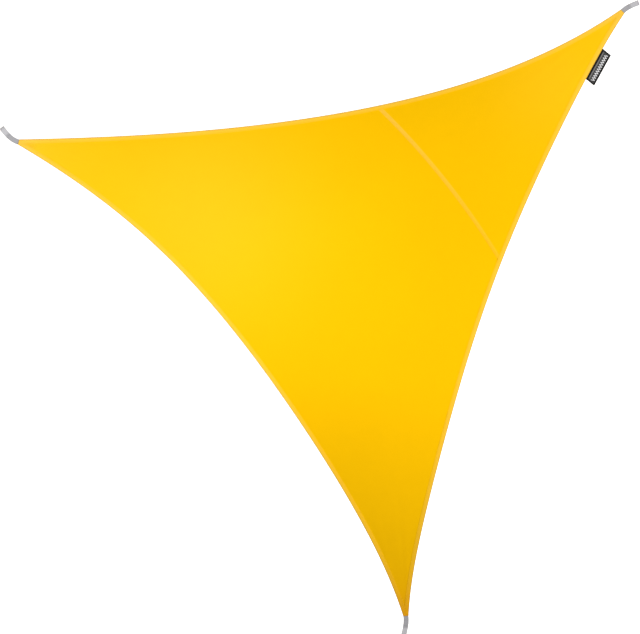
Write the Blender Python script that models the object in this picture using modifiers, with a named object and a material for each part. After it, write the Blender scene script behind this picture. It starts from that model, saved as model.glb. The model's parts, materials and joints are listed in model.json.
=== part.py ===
"""Triangular shade sail of 3 m nominal size, stretched level between its three corner loops.

The cloth is two panels lapped along one seam and hemmed all round.  Each corner has a folded
webbing loop whose open end is the eye that the sail is hung by, and a label hangs from the
hem near the head corner.  Metres, +Z up, the plan is in XY.  The origin is the middle of the
eye of the head loop, and the eyes of all three loops are level with it.
"""

import math
from collections import namedtuple

import bmesh
import bpy
from mathutils import Vector
from mathutils.geometry import delaunay_2d_cdt

# Plan of the sail: straight distances between the middles of its three blunt corners
LEFT_TO_HEAD = 2.974
HEAD_TO_FOOT = 3.091
FOOT_TO_LEFT = 2.946
HEAD_RISE = math.radians(12.2)  # how far the left-to-head line turns from +X towards +Y
CORNER_WIDTH = 0.026  # a corner ends in a straight cut this wide, just over the webbing

# Each edge curves inwards from the straight line between its corners. Depth is how far, lean
# moves the deepest place towards the end corner, fullness rounds the curve near both corners,
# twist rounds it near the end corner and flattens it near the start, and flare draws it in
# close to both corners
Edge = namedtuple("Edge", "start end depth lean fullness twist flare")
EDGES = (
    Edge("left", "foot", 0.233, -0.204, 0.189, 0.248, 0.0),
    Edge("foot", "head", 0.154, 0.067, -0.151, -0.193, 0.527),
    Edge("head", "left", 0.197, -0.351, 0.139, -0.062, 0.0),
)

# Cloth
CLOTH_THICKNESS = 0.0012
HEM_THICKNESS = 0.0030  # cloth turned over twice
HEM_WIDTH = 0.022
HEM_STEP = 0.002  # the hem thins down to the cloth over this width
EDGE_SAG = 0.034  # how far the middle of an edge hangs below the eyes
BELLY_SAG = 0.056  # how far the middle of the sail hangs below that

# Seam between the panels, along a selvedge of the cloth. It runs nearly parallel to the
# left-to-foot line, at this distance from the left corner, and the pull of the sail bows it
SEAM_DISTANCE = 1.460
SEAM_TURN = math.radians(-0.74)  # from parallel, towards the foot corner
SEAM_BOW = 0.032
LAP = 0.014  # the head panel lies on the main panel by this much
LAP_FADE_START = 0.030  # the head panel comes down to the main panel's level between
LAP_FADE_END = 0.130  # these distances from the seam

# Webbing loops: reach is how far a loop stands out of the cloth, and turn is how far it
# swings sideways on the way
Loop = namedtuple("Loop", "corner reach turn")
LOOPS = (
    Loop("left", 0.110, math.radians(-38.3)),
    Loop("head", 0.090, math.radians(-25.7)),
    Loop("foot", 0.100, math.radians(-21.7)),
)
WEBBING_WIDTH = 0.025
WEBBING_THICKNESS = 0.0013
LOOP_TAIL = 0.090  # sewn under the corner of the cloth
EYE_LENGTH = 0.050
EYE_RADIUS = 0.0085  # of the webbing's own middle where it folds back

# Label
LABEL_LENGTH = 0.167
LABEL_DROP = 0.050  # how far it stands out of the hem
LABEL_TUCK = 0.012  # how far it runs on under the hem
LABEL_START = 0.195  # from the head corner, along the edge
LABEL_SKEW = 0.009  # its free side lies this much nearer the foot corner
LABEL_THICKNESS = 0.0010
LABEL_CURL = 0.006  # its free side hangs this much lower

GAP = 0.0003  # left between pieces that touch
MESH_STEP = 0.072  # triangle size of the cloth
ROW_STEP = 0.064  # spacing of points along edges, hems and the seam
WEBBING_STEP = 0.009  # spacing of points along the sewn part of a loop
EYE_STEP = 0.0045  # and round its eye

WEBBING_MIDDLE = WEBBING_THICKNESS / 2 + GAP / 2  # of one layer, from between the two
CLOTH_LIFT = HEM_THICKNESS / 2 + GAP + WEBBING_THICKNESS + GAP / 2  # cloth over webbing

YELLOW = (1.0, 0.60, 0.003, 1.0)
GREY = (0.42, 0.41, 0.43, 1.0)
BLACK = (0.02, 0.02, 0.022, 1.0)


# ---------------------------------------------------------------- plan of corners and edges
def heading_vector(angle):
    return Vector((math.cos(angle), math.sin(angle)))


def turned_left(direction):
    return Vector((-direction.y, direction.x))


def corner_middles():
    """The middles of the three blunt corners, with the head corner at (0, 0)."""
    head = Vector((0.0, 0.0))
    left = head - heading_vector(HEAD_RISE) * LEFT_TO_HEAD
    left_angle = math.acos(
        (LEFT_TO_HEAD**2 + FOOT_TO_LEFT**2 - HEAD_TO_FOOT**2) / (2 * LEFT_TO_HEAD * FOOT_TO_LEFT)
    )
    foot = left + heading_vector(HEAD_RISE - left_angle) * FOOT_TO_LEFT
    return {"left": left, "foot": foot, "head": head}


CORNERS = corner_middles()


def hollow(edge, share):
    """How far an edge lies inside its chord, at a share of the chord's length."""
    u = 2 * share - 1
    shape = 1 + edge.lean * u + edge.fullness * u**2 + edge.twist * u**3 + edge.flare * u**4
    return edge.depth * (1 - u * u) * shape


def slope(edge, share, length):
    step = 0.001
    return (hollow(edge, share + step) - hollow(edge, share - step)) / (2 * step * length)


def corner_outward(corner):
    """The direction in which a corner points: half way between its two edges."""
    total = Vector((0.0, 0.0))
    for edge in EDGES:
        chord = CORNERS[edge.end] - CORNERS[edge.start]
        along = chord.normalized()
        inward = turned_left(along)
        if edge.start == corner:
            total += (along + inward * slope(edge, 0.0, chord.length)).normalized()
        if edge.end == corner:
            total -= (along + inward * slope(edge, 1.0, chord.length)).normalized()
    return -total.normalized()


OUTWARD = {corner: corner_outward(corner) for corner in CORNERS}

# An edge laid out in plan, from the blunt corner it starts at to the one it ends at
Line = namedtuple("Line", "edge start along inward length")


def lay_out(edge):
    half = CORNER_WIDTH / 2
    start = CORNERS[edge.start] + turned_left(OUTWARD[edge.start]) * half
    end = CORNERS[edge.end] - turned_left(OUTWARD[edge.end]) * half
    chord = end - start
    along = chord.normalized()
    return Line(edge, start, along, turned_left(along), chord.length)


LINES = tuple(lay_out(edge) for edge in EDGES)


def edge_point(line, share, inset):
    """A point on an edge, or set in from it by inset, square to the edge."""
    square = (line.inward - line.along * slope(line.edge, share, line.length)).normalized()
    on_edge = line.start + line.along * (share * line.length)
    return on_edge + line.inward * hollow(line.edge, share) + square * inset


def edge_distance(line, point):
    """How far a point lies inside an edge."""
    offset = point - line.start
    share = offset.dot(line.along) / line.length
    inside = offset.dot(line.inward) - hollow(line.edge, share)
    return inside / math.hypot(1.0, slope(line.edge, share, line.length))


def nearest_edge(point):
    return min(edge_distance(line, point) for line in LINES)


# ---------------------------------------------------------------- loops in plan
def loop_heading(loop, distance):
    share = min(max(distance / loop.reach, 0.0), 1.0)
    outward = OUTWARD[loop.corner]
    return math.atan2(outward.y, outward.x) + loop.turn * (1 - (1 - share) ** 2)


def loop_middle(loop, distance):
    """The middle of the webbing, at a distance outside the corner (inside it if negative)."""
    steps = 24
    point = CORNERS[loop.corner].copy()
    for index in range(steps):
        middle_of_step = (index + 0.5) / steps * distance
        point += heading_vector(loop_heading(loop, middle_of_step)) * (distance / steps)
    return point


def eye_middle(loop):
    return loop_middle(loop, loop.reach - EYE_LENGTH / 2)


EYES = {loop.corner: eye_middle(loop) for loop in LOOPS}
ORIGIN = EYES["head"]


# ---------------------------------------------------------------- height of the sail
def corner_shares(point):
    """Barycentric shares of a plan point between the three eyes."""
    a, b, c = (EYES[name] for name in ("left", "foot", "head"))
    area = (b - a).cross(c - a)
    return (
        (b - point).cross(c - point) / area,
        (c - point).cross(a - point) / area,
        (a - point).cross(b - point) / area,
    )


def sag_height(point):
    """Height of the middle of the cloth's surface: level at the eyes, hanging between."""
    a, b, c = corner_shares(point)
    return -4 * EDGE_SAG * (a * b + b * c + c * a) - 27 * (BELLY_SAG - EDGE_SAG / 3) * a * b * c


def placed(point, height):
    return Vector((point.x - ORIGIN.x, point.y - ORIGIN.y, height))


# ---------------------------------------------------------------- seam in plan
LONG_CHORD = CORNERS["foot"] - CORNERS["left"]
SEAM_ALONG = heading_vector(math.atan2(LONG_CHORD.y, LONG_CHORD.x) + SEAM_TURN)
SEAM_INWARD = turned_left(SEAM_ALONG)


def halve(test, inside, outside):
    """The place between inside and outside where test stops being true."""
    for _ in range(40):
        middle = (inside + outside) / 2
        if test(middle):
            inside = middle
        else:
            outside = middle
    return inside


def seam_end(line, from_share, to_share):
    """Where an edge meets the straight line of the seam, as a distance along the seam."""

    def below(share):
        return (edge_point(line, share, 0.0) - CORNERS["left"]).dot(SEAM_INWARD) < SEAM_DISTANCE

    share = halve(below, from_share, to_share)
    return (edge_point(line, share, 0.0) - CORNERS["left"]).dot(SEAM_ALONG)


SEAM_LEFT_END = seam_end(LINES[2], 1.0, 0.0)
SEAM_RIGHT_END = seam_end(LINES[1], 0.0, 1.0)


def seam_point(distance, inset):
    """A point at a distance along the seam, moved by inset towards the head corner."""
    share = (distance - SEAM_LEFT_END) / (SEAM_RIGHT_END - SEAM_LEFT_END)
    bow = SEAM_BOW * 4 * share * (1 - share)
    towards_head = SEAM_INWARD * (SEAM_DISTANCE + bow + inset)
    return CORNERS["left"] + SEAM_ALONG * distance + towards_head


def seam_side(point):
    """How far a point lies on the head side of the seam."""
    offset = point - CORNERS["left"]
    on_seam = seam_point(offset.dot(SEAM_ALONG), 0.0)
    return (point - on_seam).dot(SEAM_INWARD)


# ---------------------------------------------------------------- cloth panels
def evenly(first, last, step):
    count = max(1, math.ceil(abs(last - first) / step))
    return [first + (last - first) * index / count for index in range(count + 1)]


def row_along_edge(line, inset, side):
    """Points along an edge at an inset, as far as the seam or the next edge's own row."""
    others = [other for other in LINES if other is not line]

    def inside(share):
        point = edge_point(line, share, inset)
        if side * seam_side(point) < -LAP / 2:
            return False
        return inset == 0.0 or all(edge_distance(other, point) > inset for other in others)

    samples = 200
    shares = [index / samples for index in range(samples + 1)]
    kept = [share for share in shares if inside(share)]
    if not kept:
        return []
    first, last = kept[0], kept[-1]
    if first > 0.0:
        first = halve(inside, first, first - 1 / samples)
    if last < 1.0:
        last = halve(inside, last, last + 1 / samples)
    return [edge_point(line, share, inset) for share in evenly(first, last, ROW_STEP / line.length)]


def join_rows(rows):
    """Rows that follow each other round a corner share the point where they meet."""
    for row, following in zip(rows, rows[1:] + rows[:1]):
        if (row[-1] - following[0]).length < HEM_STEP:
            following[0] = row[-1]


def seam_row(start, end, inset):
    """Points along the seam from one given point to another."""
    first, last = ((point - CORNERS["left"]).dot(SEAM_ALONG) for point in (start, end))
    between = evenly(first, last, ROW_STEP)[1:-1]
    return [start] + [seam_point(distance, inset) for distance in between] + [end]


def lattice(side):
    """Evenly spread points inside a panel, clear of its hems and its seam."""
    clear_of_hem = HEM_WIDTH + HEM_STEP + MESH_STEP / 2
    clear_of_seam = LAP_FADE_START + MESH_STEP / 2
    row_height = MESH_STEP * math.sqrt(3) / 2
    columns = math.ceil(HEAD_TO_FOOT / MESH_STEP)
    points = []
    for row in range(-columns, columns):
        for column in range(-columns, columns):
            along = (column + 0.5 * (row % 2)) * MESH_STEP
            point = CORNERS["left"] + SEAM_ALONG * along + SEAM_INWARD * (row * row_height)
            if side * seam_side(point) > clear_of_seam and nearest_edge(point) > clear_of_hem:
                points.append(point)
    return points


def panel_rows(side):
    """Every line that a panel's triangles follow: its outline, its hem and its seam."""
    chains = []
    seam_ends = []
    for inset in (0.0, HEM_WIDTH, HEM_WIDTH + HEM_STEP):
        rows = [row_along_edge(line, inset, side) for line in LINES]
        rows = [row for row in rows if row]
        if side > 0:
            starts, ends = rows[0][0], rows[-1][-1]
            if inset > 0.0:
                rows[1][0] = rows[0][-1]
        else:
            starts, ends = rows[-1][0], rows[1][-1]
            if inset > 0.0:
                join_rows(rows)
        seam_ends.append((ends, starts))
        chains += rows
        if inset == 0.0:
            for row, following in zip(rows, rows[1:] + rows[:1]):
                if (row[-1] - following[0]).length < 2 * CORNER_WIDTH:
                    chains.append([row[-1], following[0]])
    outer, hem, inner = seam_ends
    across = seam_row(inner[0], inner[1], -side * LAP / 2)
    chains.append([outer[0], hem[0]] + across + [hem[1], outer[1]])
    guard_ends = []
    for end, other in (inner, inner[::-1]):
        towards = (other - end).normalized()
        distance = (end + towards * HEM_WIDTH - CORNERS["left"]).dot(SEAM_ALONG)
        guard_ends.append(seam_point(distance, side * LAP_FADE_START))
    chains.append(seam_row(guard_ends[0], guard_ends[1], side * LAP_FADE_START))
    return chains


def triangulate(chains, loose_points):
    """Triangles that follow every chain and use every loose point."""
    points = []
    numbers = {}
    edges = []
    for chain in chains:
        indices = []
        for point in chain:
            key = (point.x, point.y)
            if key not in numbers:
                numbers[key] = len(points)
                points.append(point)
            indices.append(numbers[key])
        edges += list(zip(indices, indices[1:]))
    points += loose_points
    inside_the_outline = 1
    smallest = 1e-6
    result = delaunay_2d_cdt(points, edges, [], inside_the_outline, smallest)
    return result[0], result[2]


def hem_share(point):
    """1 on the hem, 0 on the single cloth, and between them on the hem's step."""
    return min(max((HEM_WIDTH + HEM_STEP - nearest_edge(point)) / HEM_STEP, 0.0), 1.0)


def lap_lift(point, side):
    """How far the head panel is raised to lie on the main panel."""
    if side < 0:
        return 0.0
    share = (LAP_FADE_END - seam_side(point)) / (LAP_FADE_END - LAP_FADE_START)
    share = min(max(share, 0.0), 1.0)
    thickness = CLOTH_THICKNESS + (HEM_THICKNESS - CLOTH_THICKNESS) * hem_share(point)
    return (thickness + GAP) * share * share * (3 - 2 * share)


def make_panel(name, side):
    points, faces = triangulate(panel_rows(side), lattice(side))
    height = [CLOTH_LIFT + sag_height(point) + lap_lift(point, side) for point in points]
    mesh = bpy.data.meshes.new(name)
    mesh.from_pydata([placed(p, z) for p, z in zip(points, height)], [], faces)
    panel = bpy.data.objects.new(name, mesh)
    hem = panel.vertex_groups.new(name="hem")
    for index, point in enumerate(points):
        hem.add([index], hem_share(point), "REPLACE")
    add_thickness(panel, HEM_THICKNESS)
    panel.modifiers["Thickness"].vertex_group = hem.name
    panel.modifiers["Thickness"].thickness_vertex_group = CLOTH_THICKNESS / HEM_THICKNESS
    return panel


# ---------------------------------------------------------------- webbing loops and label
def add_thickness(sheet, thickness):
    solidify = sheet.modifiers.new("Thickness", "SOLIDIFY")
    solidify.thickness = thickness
    solidify.offset = 0.0


def grid_sheet(name, columns, rows, place):
    """A sheet of columns by rows faces, each corner put where place(column, row) says."""
    mesh = bpy.data.meshes.new(name)
    grid = bmesh.new()
    bmesh.ops.create_grid(grid, x_segments=columns, y_segments=rows, size=0.5)
    for vertex in grid.verts:
        column = round((vertex.co.x + 0.5) * columns)
        row = round((vertex.co.y + 0.5) * rows)
        vertex.co = place(column, row)
    grid.to_mesh(mesh)
    grid.free()
    return bpy.data.objects.new(name, mesh)


def eye_profile(loop):
    """Side view of one layer from the sewn tail to the fold: (distance, height) pairs."""
    fold = loop.reach - EYE_RADIUS - WEBBING_THICKNESS / 2
    throat = loop.reach - EYE_LENGTH
    sewn = [(distance, WEBBING_MIDDLE) for distance in evenly(-LOOP_TAIL, throat, WEBBING_STEP)]
    opening = []
    for distance in evenly(throat, fold, EYE_STEP)[1:]:
        share = (distance - throat) / (fold - throat)
        rise = (1 - math.cos(math.pi * share)) / 2
        opening.append((distance, WEBBING_MIDDLE + (EYE_RADIUS - WEBBING_MIDDLE) * rise))
    quarter = []
    for angle in evenly(0.0, math.pi / 2, EYE_STEP / EYE_RADIUS / 1.5)[1:]:
        quarter.append((fold + EYE_RADIUS * math.sin(angle), EYE_RADIUS * math.cos(angle)))
    return sewn + opening + quarter


def make_loop(loop):
    """Webbing laid out along the corner, folded back round the eye and laid on itself."""
    upper = eye_profile(loop)
    lower = [(distance, -height) for distance, height in upper]
    path = lower[:-1] + upper[::-1]

    def place(column, row):
        distance, height = path[column]
        across = turned_left(heading_vector(loop_heading(loop, distance)))
        point = loop_middle(loop, distance) + across * (WEBBING_WIDTH * (row / 2 - 0.5))
        return placed(point, sag_height(point) + height)

    webbing = grid_sheet("loop_" + loop.corner, len(path) - 1, 2, place)
    add_thickness(webbing, WEBBING_THICKNESS)
    return webbing


def make_label():
    """A straight label tucked under the hem of the edge that ends at the head corner."""
    line = LINES[1]
    near = edge_point(line, 1 - LABEL_START / line.length, 0.0)
    far = edge_point(line, 1 - (LABEL_START + LABEL_LENGTH) / line.length, 0.0)
    along = (far - near).normalized()
    outward = turned_left(along)
    under_hem = CLOTH_LIFT - HEM_THICKNESS / 2 - GAP - LABEL_THICKNESS / 2
    columns = 8
    rows = 6

    def place(column, row):
        out = -LABEL_TUCK + (LABEL_TUCK + LABEL_DROP) * row / rows
        shift = LABEL_LENGTH * column / columns + LABEL_SKEW * out / LABEL_DROP
        point = near + along * shift + outward * out
        curl = LABEL_CURL * (max(out, 0.0) / LABEL_DROP) ** 2
        return placed(point, sag_height(point) + under_hem - curl)

    label = grid_sheet("label", columns, rows, place)
    add_thickness(label, LABEL_THICKNESS)
    return label


# ---------------------------------------------------------------- finish and build
def finish(piece, collection, color, roughness):
    material = bpy.data.materials.new(piece.name)
    material.use_nodes = True
    shader = material.node_tree.nodes["Principled BSDF"]
    shader.inputs["Base Color"].default_value = color
    shader.inputs["Roughness"].default_value = roughness
    shader.inputs["Metallic"].default_value = 0.0
    piece.data.materials.append(material)
    piece.data.shade_smooth()
    collection.objects.link(piece)


def build():
    for old in list(bpy.data.objects):
        bpy.data.objects.remove(old, do_unlink=True)
    sail = bpy.data.collections.new("shade_sail")
    bpy.context.scene.collection.children.link(sail)
    finish(make_panel("panel_main", -1), sail, YELLOW, 0.65)
    finish(make_panel("panel_head", 1), sail, YELLOW, 0.65)
    for loop in LOOPS:
        finish(make_loop(loop), sail, GREY, 0.60)
    finish(make_label(), sail, BLACK, 0.55)


build()
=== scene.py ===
import json
import bmesh
import bpy
import numpy as np
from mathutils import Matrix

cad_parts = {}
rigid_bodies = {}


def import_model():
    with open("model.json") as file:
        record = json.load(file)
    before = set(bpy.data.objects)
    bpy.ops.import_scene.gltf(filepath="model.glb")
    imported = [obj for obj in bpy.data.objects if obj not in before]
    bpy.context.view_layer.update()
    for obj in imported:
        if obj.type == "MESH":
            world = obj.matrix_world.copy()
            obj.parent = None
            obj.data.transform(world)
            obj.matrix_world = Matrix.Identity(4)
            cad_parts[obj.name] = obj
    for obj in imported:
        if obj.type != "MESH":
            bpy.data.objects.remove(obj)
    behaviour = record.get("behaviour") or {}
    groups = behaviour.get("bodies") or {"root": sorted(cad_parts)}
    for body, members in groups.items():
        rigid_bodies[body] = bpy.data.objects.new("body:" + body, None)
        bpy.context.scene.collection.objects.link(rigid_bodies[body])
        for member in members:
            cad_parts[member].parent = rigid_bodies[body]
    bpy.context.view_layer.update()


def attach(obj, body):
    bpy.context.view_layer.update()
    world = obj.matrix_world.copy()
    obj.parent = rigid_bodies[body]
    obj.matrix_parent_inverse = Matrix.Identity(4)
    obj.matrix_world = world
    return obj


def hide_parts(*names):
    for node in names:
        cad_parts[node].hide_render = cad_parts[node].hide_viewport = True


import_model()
print("frame loaded")

# the plan of the stretched sail, in metres, with the head corner at (0, 0) until it is placed
sail = {
    "leftToHead": 2.974,
    "headToFoot": 3.091,
    "footToLeft": 2.946,
    "headRise": 12.2,  # degrees that the left-to-head line turns up from +X
    "cornerWidth": 0.026,
    "lift": 0.00325,  # middle of the cloth above the middle of the webbing
    "edgeSag": 0.034,
    "bellySag": 0.056,
    "swell": 0.00055,  # long, faint waves in the belly
    "waves": ((8.7, 3.1, 0.6, 1.0), (-5.2, 9.4, 2.1, 0.8), (14.3, -10.2, 4.0, 0.5)),
    "furrow": 0.00016,  # fine tension lines that fan out of the corners
    "folds": ((46, 0, 1.0), (71, 1, 0.6)),
    "fanMiddle": 0.30,
    "fanStep": 0.05,  # each corner's fan lies this much further in than the last one's
    "fanReach": 0.17,
    "fanFocus": 0.058,
}
edges = {  # each curves in from the line between its corners; lit is the painted light along its hem
    "long": {"start": "left", "end": "foot", "depth": 0.233, "lit": (0.0, 0.075),
             "shape": (-0.204, 0.189, 0.248, 0.0)},
    "labelled": {"start": "foot", "end": "head", "depth": 0.154, "lit": (-0.03, 0.05),
                 "shape": (0.067, -0.151, -0.193, 0.527)},
    "top": {"start": "head", "end": "left", "depth": 0.197, "lit": (0.03, 0.01),
            "shape": (-0.351, 0.139, -0.062, 0.0)},
}
seam = {
    "distance": 1.460,  # from the left corner
    "turn": -0.74,  # degrees from parallel to the long edge's straight line
    "bow": 0.032,
    "width": 0.014,
    "rise": 0.0015,  # the head panel lies this much higher where it laps the main panel
    "fade": (0.030, 0.130),  # the rise dies out between these distances beyond the seam
    "hemRamp": (-0.030, 0.016),  # the hem's middle climbs between these
    "topRamp": (-0.015, -0.006),  # its upper face climbs first
    "underRamp": (0.006, 0.016),  # and its lower face last
    "stitchRows": (0.0028, 0.0112),
    "groove": 0.00030,
    "dent": 0.0009,
    "pucker": 0.00012,
    "waves": (260, 411),
    "pale": (0.80, 0.18),  # how far the lap goes to the paler yellow, at its top and lower end: the paler back of the cloth, with painted sheen fading along the seam
    "paleBeside": 0.0035,  # the cloth beside the lap is drawn paler as far as this
    "paleFade": 0.002,
    "rim": 0.2,  # how much painted shade darkens its raw edge beside the turned edge of the hem
    "edgeShadeReach": 0.0008,
}
loops = {
    "left": {"reach": 0.110, "turn": -38.3},
    "head": {"reach": 0.090, "turn": -25.7},
    "foot": {"reach": 0.100, "turn": -21.7},
}
webbing = {
    "width": 0.025,
    "thickness": 0.0013,
    "gap": 0.0003,
    "tail": 0.090,
    "eyeLength": 0.050,
    "eyeRadius": 0.0085,
    "step": 0.0016,
    "ribs": 6,
    "ribDepth": 0.07,
    "softEnd": 0.004,  # its painted shade in the cloth above fades over these widths
    "softSide": 0.0015,
    "sewnPast": 0.012,  # its darker, sewn look ends this far past the throat
    "sewnFade": 0.008,
    # painted shade at the fold of the eye dies out over this length
    "foldShadeReach": 0.0028,
    "rowStart": {1: 0.0015, -1: -0.084},  # stitched along, from the hem above or the tail below
    "rowSide": 0.80,  # in half widths
    "bars": (0.0008, 0.0028, 0.0048),  # stitched across, back from the throat
    "barHalf": 0.86,
}


def heading(angle):
    # unit vectors at an angle from +X
    return np.stack([np.cos(angle), np.sin(angle)], axis=-1)


def leftOf(v):
    # a quarter turn to the left: (x, y) becomes (-y, x)
    return np.stack([-v[..., 1], v[..., 0]], axis=-1)


def unit(v):
    # a vector divided by its length
    return v / np.linalg.norm(v, axis=-1, keepdims=True)


def dot(a, b):
    # product of the x plus product of the y
    return (a * b).sum(axis=-1)


def cross(a, b):
    # x of a times y of b, less y of a times x of b
    return a[..., 0] * b[..., 1] - a[..., 1] * b[..., 0]


def ease(x):
    # smooth step: 3 x^2 - 2 x^3, with x held between 0 and 1
    x = np.clip(x, 0, 1)
    return x * x * (3 - 2 * x)


def ramp(x, first, last):
    # smooth step from one place to another
    return ease((x - first) / (last - first))


def bell(x, reach):
    # exp(-(x / reach)^2)
    return np.exp(-((x / reach) ** 2))


def rounded(x):
    # quarter circle: the root of 1 - (1 - x)^2, with x held between 0 and 1
    x = np.clip(x, 0, 1)
    return np.sqrt(1 - (1 - x) ** 2)


def hollow(edge, t):
    # depth times (1 - u^2)(1 + a u + b u^2 + c u^3 + d u^4), where a to d are the edge's shape
    # and u runs from -1 to 1 along the edge
    u = 2 * t - 1
    terms = [factor * u ** (power + 1) for power, factor in enumerate(edge["shape"])]
    return edge["depth"] * (1 - u * u) * (1 + sum(terms))


def slope(edge, t, length):
    # change of the hollow over a thousandth either way, over the length covered
    return (hollow(edge, t + 0.001) - hollow(edge, t - 0.001)) / (0.002 * length)


def layOut():
    # corners by the law of cosines; a corner points half way between its two edges; an edge
    # starts and ends at the ends of the straight cuts across its corners
    a, b, c = sail["leftToHead"], sail["footToLeft"], sail["headToFoot"]
    rise = np.radians(sail["headRise"])
    left = -heading(rise) * a
    foot = left + heading(rise - np.arccos((a * a + b * b - c * c) / (2 * a * b))) * b
    corners = {"left": left, "foot": foot, "head": np.zeros(2)}
    outward = {name: np.zeros(2) for name in corners}
    for edge in edges.values():
        chord = corners[edge["end"]] - corners[edge["start"]]
        length = np.linalg.norm(chord)
        along = chord / length
        for end, t, sign in (("start", 0.0, -1), ("end", 1.0, 1)):
            outward[edge[end]] += sign * unit(along + leftOf(along) * slope(edge, t, length))
    outward = {name: unit(way) for name, way in outward.items()}
    half = sail["cornerWidth"] / 2
    for edge in edges.values():
        start = corners[edge["start"]] + leftOf(outward[edge["start"]]) * half
        end = corners[edge["end"]] - leftOf(outward[edge["end"]]) * half
        edge["length"] = np.linalg.norm(end - start)
        edge["origin"] = start
        edge["along"] = (end - start) / edge["length"]
        edge["inward"] = leftOf(edge["along"])
    return corners, outward


corners, outward = layOut()


def edgePoint(edge, t, inset):
    # along the straight line, in by the hollow, then square to the curve by the inset
    t, inset = np.broadcast_arrays(np.asarray(t, float), np.asarray(inset, float))
    square = unit(edge["inward"] - edge["along"] * slope(edge, t, edge["length"])[..., None])
    onEdge = edge["origin"] + edge["along"] * (t * edge["length"])[..., None]
    return onEdge + edge["inward"] * hollow(edge, t)[..., None] + square * inset[..., None]


def edgeDistance(edge, p):
    # height over the straight line less the hollow, divided by the length of (1, slope)
    offset = p - edge["origin"]
    t = dot(offset, edge["along"]) / edge["length"]
    return (dot(offset, edge["inward"]) - hollow(edge, t)) / np.hypot(1, slope(edge, t, edge["length"]))


def solve(miss, t):
    # Newton steps: t less the miss divided by its own rate of change
    for _ in range(12):
        rate = (miss(t + 1e-4) - miss(t - 1e-4)) / 2e-4
        t = t - miss(t) / rate
    return t


def loopHeading(name, distance):
    # the corner's heading plus turn times 1 - (1 - share)^2, share being distance over reach
    share = np.clip(distance / loops[name]["reach"], 0, 1)
    start = np.arctan2(outward[name][1], outward[name][0])
    return start + np.radians(loops[name]["turn"]) * (1 - (1 - share) ** 2)


def loopMiddle(name, distance):
    # 24 equal steps out of the corner, each along the heading at its own middle
    distance = np.asarray(distance, float)
    middles = distance[..., None] * (np.arange(24) + 0.5) / 24
    steps = heading(loopHeading(name, middles)) * (distance / 24)[..., None, None]
    return corners[name] + steps.sum(axis=-2)


eyes = {n: loopMiddle(n, loops[n]["reach"] - webbing["eyeLength"] / 2) for n in loops}


def eyeShares(p):
    # barycentric shares: the area of the triangle opposite each eye over the whole area
    a, b, c = eyes["left"], eyes["foot"], eyes["head"]
    area = cross(b - a, c - a)
    return cross(b - p, c - p) / area, cross(c - p, a - p) / area, cross(a - p, b - p) / area


def sagHeight(p):
    # -4 edgeSag (ab + bc + ca) - 27 (bellySag - edgeSag / 3) abc, with a, b, c the eye shares
    a, b, c = eyeShares(p)
    belly = sail["bellySag"] - sail["edgeSag"] / 3
    return -4 * sail["edgeSag"] * (a * b + b * c + c * a) - 27 * belly * a * b * c


def clothMiddle(p):
    # lift plus sag, plus three long crossing sine waves times 27abc, plus near each corner a
    # sum of sines of the angle round the corner that swells and dies like a bell
    a, b, c = eyeShares(p)
    height = sail["lift"] + sagHeight(p)
    for alongX, alongY, start, share in sail["waves"]:
        wave = share * np.sin(alongX * p[..., 0] + alongY * p[..., 1] + start)
        height = height + sail["swell"] * wave * np.clip(27 * a * b * c, 0, 1)
    for index, name in enumerate(corners):
        far, aside = fromCut(name, p), cross(outward[name], corners[name] - p)
        turn = np.arctan2(aside, np.maximum(far, 1e-6) + sail["fanFocus"])
        swell = bell(far - sail["fanMiddle"] - sail["fanStep"] * index, sail["fanReach"])
        for folds, start, share in sail["folds"]:
            fan = share * np.sin(turn * folds + (1 + start) * index + start)
            height = height + sail["furrow"] * swell * ramp(far, 0, 0.1) * fan
    return height


def place(p, z):
    # plan points and heights in the model's frame, whose origin is the head loop's eye
    return np.concatenate([p - eyes["head"], np.asarray(z)[..., None]], axis=-1)


longLine = corners["foot"] - corners["left"]
seamAlong = heading(np.arctan2(longLine[1], longLine[0]) + np.radians(seam["turn"]))
seamInward = leftOf(seamAlong)


def alongSeam(p):
    # distance from the left corner in the seam's direction
    return dot(p - corners["left"], seamAlong)


def acrossSeam(p):
    # distance from the left corner square to the seam's direction
    return dot(p - corners["left"], seamInward)


for key, end in (("top", "start"), ("labelled", "end")):  # where the straight seam meets an edge
    seam[key] = solve(lambda t: acrossSeam(edgePoint(edges[key], t, 0)) - seam["distance"], 0.55)
    seam[end] = alongSeam(edgePoint(edges[key], seam[key], 0))


def seamPoint(distance, beyond):
    # the seam's straight line, bowed by 4w(1 - w), and moved towards the head by beyond
    w = (distance - seam["start"]) / (seam["end"] - seam["start"])
    inwards = seam["distance"] + seam["bow"] * 4 * w * (1 - w) + beyond
    return corners["left"] + seamAlong * distance[..., None] + seamInward * inwards[..., None]


def beyondSeam(p):
    # distance from the bowed seam, towards the head
    distance = alongSeam(p)
    return dot(p - seamPoint(distance, np.zeros_like(distance)), seamInward)


def seamShare(key, inset, beyond):
    # share of an edge at which its inset line is beyond the seam by that distance
    guess = seam[key] + 0 * beyond
    return solve(lambda t: beyondSeam(edgePoint(edges[key], t, inset)) - beyond, guess)


def lapRise(beyond, first, last):
    # rise, eased in between first and last and out again over the fade
    return seam["rise"] * ramp(beyond, first, last) * (1 - ramp(beyond, *seam["fade"]))


arriving = {edge["end"]: edge for edge in edges.values()}  # the edge that ends at a corner
leaving = {edge["start"]: edge for edge in edges.values()}


def mitre(name, inset):
    # where the lines inset from a corner's two edges cross: Newton steps in both shares on the
    # gap between a point of each
    s, t, h = np.ones_like(inset), np.zeros_like(inset), 1e-4
    for _ in range(20):
        sides = ((arriving[name], s), (leaving[name], t))
        ends = [edgePoint(edge, at, inset) for edge, at in sides]
        ds, dt = [
            (edgePoint(edge, at + h, inset) - edgePoint(edge, at - h, inset)) / (2 * h)
            for edge, at in sides
        ]
        gap, turn = ends[0] - ends[1], cross(ds, dt)
        s, t = s - cross(gap, dt) / turn, t - cross(gap, ds) / turn
    return s, t


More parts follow.
